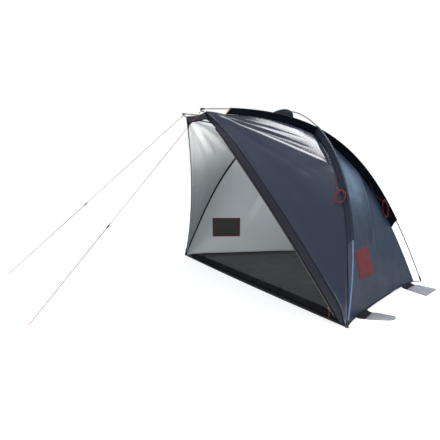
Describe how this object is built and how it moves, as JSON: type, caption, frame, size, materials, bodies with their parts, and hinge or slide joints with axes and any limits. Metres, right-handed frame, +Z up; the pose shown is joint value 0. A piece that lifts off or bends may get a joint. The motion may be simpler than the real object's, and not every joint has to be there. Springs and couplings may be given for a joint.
{
  "type": "beach tent shelter",
  "caption": "Open-fronted beach tent shelter: dark slate cloth on a leaning hoop and two long arched poles, vent cowl, zips, rolled door, guy lines, sand pockets",
  "frame": {"origin": "on the ground, midway between the feet of the front hoop pole", "axes": "+X is to the right for someone who looks into the mouth, +Y points from the mouth to the back, +Z is up"},
  "size_m": [2.3763, 2.7699, 1.3158],
  "materials": {
    "pole": "light grey fibreglass",
    "ferrule": "satin steel",
    "black_plastic": "black moulded plastic",
    "canopy": "dark slate coated polyester, pale grey inside",
    "band": "charcoal polyester hem",
    "sleeve": "black woven polyester",
    "floor": "dark grey coated polyethylene sheet",
    "door": "black polyester",
    "zip": "black coil zip",
    "webbing": "black webbing",
    "cord": "dark red braided cord",
    "pull": "dark red plastic",
    "pocket": "silver grey coated polyester",
    "patch": "plain dark red patch",
    "mesh": "black net"
  },
  "bodies": {
    "shelter": {"door_roll": "door", "floor_sheet": "floor", "front_corner_web_left": "webbing", "front_corner_web_right": "webbing", "front_foot_cap_left": "black_plastic", "front_foot_cap_right": "black_plastic", "front_panel_left": "canopy", "front_panel_right": "canopy", "guy_line_left": "cord", "guy_line_right": "cord", "hoop_ferrule_left": "ferrule", "hoop_ferrule_right": "ferrule", "hoop_pole_left": "pole", "hoop_pole_right": "pole", "hoop_pole_top": "pole", "hoop_sleeve_left": "sleeve", "hoop_sleeve_right": "sleeve", "long_pole_left": "pole", "long_pole_right": "pole", "long_sleeve_left": "sleeve", "long_sleeve_right": "sleeve", "rear_corner_web_left": "webbing", "rear_corner_web_right": "webbing", "rear_foot_cap_left": "black_plastic", "rear_foot_cap_right": "black_plastic", "rear_panel": "canopy", "roll_tie_left": "webbing", "roll_tie_right": "webbing", "roof_panel": "canopy", "side_band_left": "band", "side_band_right": "band", "side_wall_left": "canopy", "side_wall_right": "canopy", "stowed_guy_hoop_left": "cord", "stowed_guy_hoop_right": "cord", "stowed_guy_rear_left": "cord", "stowed_guy_rear_right": "cord", "tip_cap_left": "black_plastic", "tip_cap_right": "black_plastic", "tip_web_left": "webbing", "tip_web_right": "webbing", "top_band": "band", "vent_cowl": "canopy", "vent_mesh": "mesh", "wall_patch_left": "patch", "wall_patch_right": "patch", "zip_track_left": "zip", "zip_track_right": "zip"},
    "zip_slider_right": {"zip_slider_right": "zip"},
    "zip_pull_right": {"zip_pull_right": "pull"},
    "sand_pocket_front_right": {"sand_pocket_front_right": "pocket"},
    "sand_pocket_rear_right": {"sand_pocket_rear_right": "pocket"},
    "roll_toggle_right": {"roll_toggle_right": "black_plastic"},
    "guy_runner_right": {"guy_runner_right": "pull"},
    "zip_slider_left": {"zip_slider_left": "zip"},
    "zip_pull_left": {"zip_pull_left": "pull"},
    "sand_pocket_front_left": {"sand_pocket_front_left": "pocket"},
    "sand_pocket_rear_left": {"sand_pocket_rear_left": "pocket"},
    "roll_toggle_left": {"roll_toggle_left": "black_plastic"},
    "guy_runner_left": {"guy_runner_left": "pull"}
  },
  "joints": [
    {"name": "zip_slider_right_slide", "type": "hinge", "parent": "shelter", "child": "zip_slider_right", "pos_m": [3.49095, -6.09737, 1.14935], "axis": [0.6779, 0.3831, 0.6274], "range_deg": [0, 11.68]},
    {"name": "zip_pull_right_swing", "type": "hinge", "parent": "zip_slider_right", "child": "zip_pull_right", "pos_m": [1.04502, -0.03802, 0.08088], "axis": [-0.9276, -0.3736, 0], "range_deg": [0, 100]},
    {"name": "sand_pocket_front_right_lift", "type": "hinge", "parent": "shelter", "child": "sand_pocket_front_right", "pos_m": [1.03341, 0.2211, 0.01301], "axis": [0.4263, -0.9044, -0.0182], "range_deg": [0, 95]},
    {"name": "sand_pocket_rear_right_lift", "type": "hinge", "parent": "shelter", "child": "sand_pocket_rear_right", "pos_m": [0.73272, 0.95072, 0.01111], "axis": [0.3346, -0.9418, 0.0337], "range_deg": [0, 95]},
    {"name": "roll_toggle_right_turn", "type": "hinge", "parent": "shelter", "child": "roll_toggle_right", "pos_m": [0.45, 0.041, 0.0496], "axis": [0, 0, 1], "range_deg": [-90, 90]},
    {"name": "guy_runner_right_slide", "type": "slide", "parent": "shelter", "child": "guy_runner_right", "axis": [0.0411, -0.6758, -0.736], "range_m": [0, 0.55]},
    {"name": "zip_slider_left_slide", "type": "hinge", "parent": "shelter", "child": "zip_slider_left", "pos_m": [-3.49095, -6.09737, 1.14935], "axis": [0.6779, -0.3831, -0.6274], "range_deg": [0, 11.68]},
    {"name": "zip_pull_left_swing", "type": "hinge", "parent": "zip_slider_left", "child": "zip_pull_left", "pos_m": [-1.04502, -0.03802, 0.08088], "axis": [-0.9276, 0.3736, 0], "range_deg": [0, 100]},
    {"name": "sand_pocket_front_left_lift", "type": "hinge", "parent": "shelter", "child": "sand_pocket_front_left", "pos_m": [-1.03341, 0.2211, 0.01301], "axis": [0.4263, 0.9044, 0.0182], "range_deg": [0, 95]},
    {"name": "sand_pocket_rear_left_lift", "type": "hinge", "parent": "shelter", "child": "sand_pocket_rear_left", "pos_m": [-0.73272, 0.95072, 0.01111], "axis": [0.3346, 0.9418, -0.0337], "range_deg": [0, 95]},
    {"name": "roll_toggle_left_turn", "type": "hinge", "parent": "shelter", "child": "roll_toggle_left", "pos_m": [-0.45, 0.041, 0.0496], "axis": [0, 0, -1], "range_deg": [-90, 90]},
    {"name": "guy_runner_left_slide", "type": "slide", "parent": "shelter", "child": "guy_runner_left", "axis": [-0.5052, -0.6008, -0.6195], "range_m": [0, 0.55]}
  ]
}
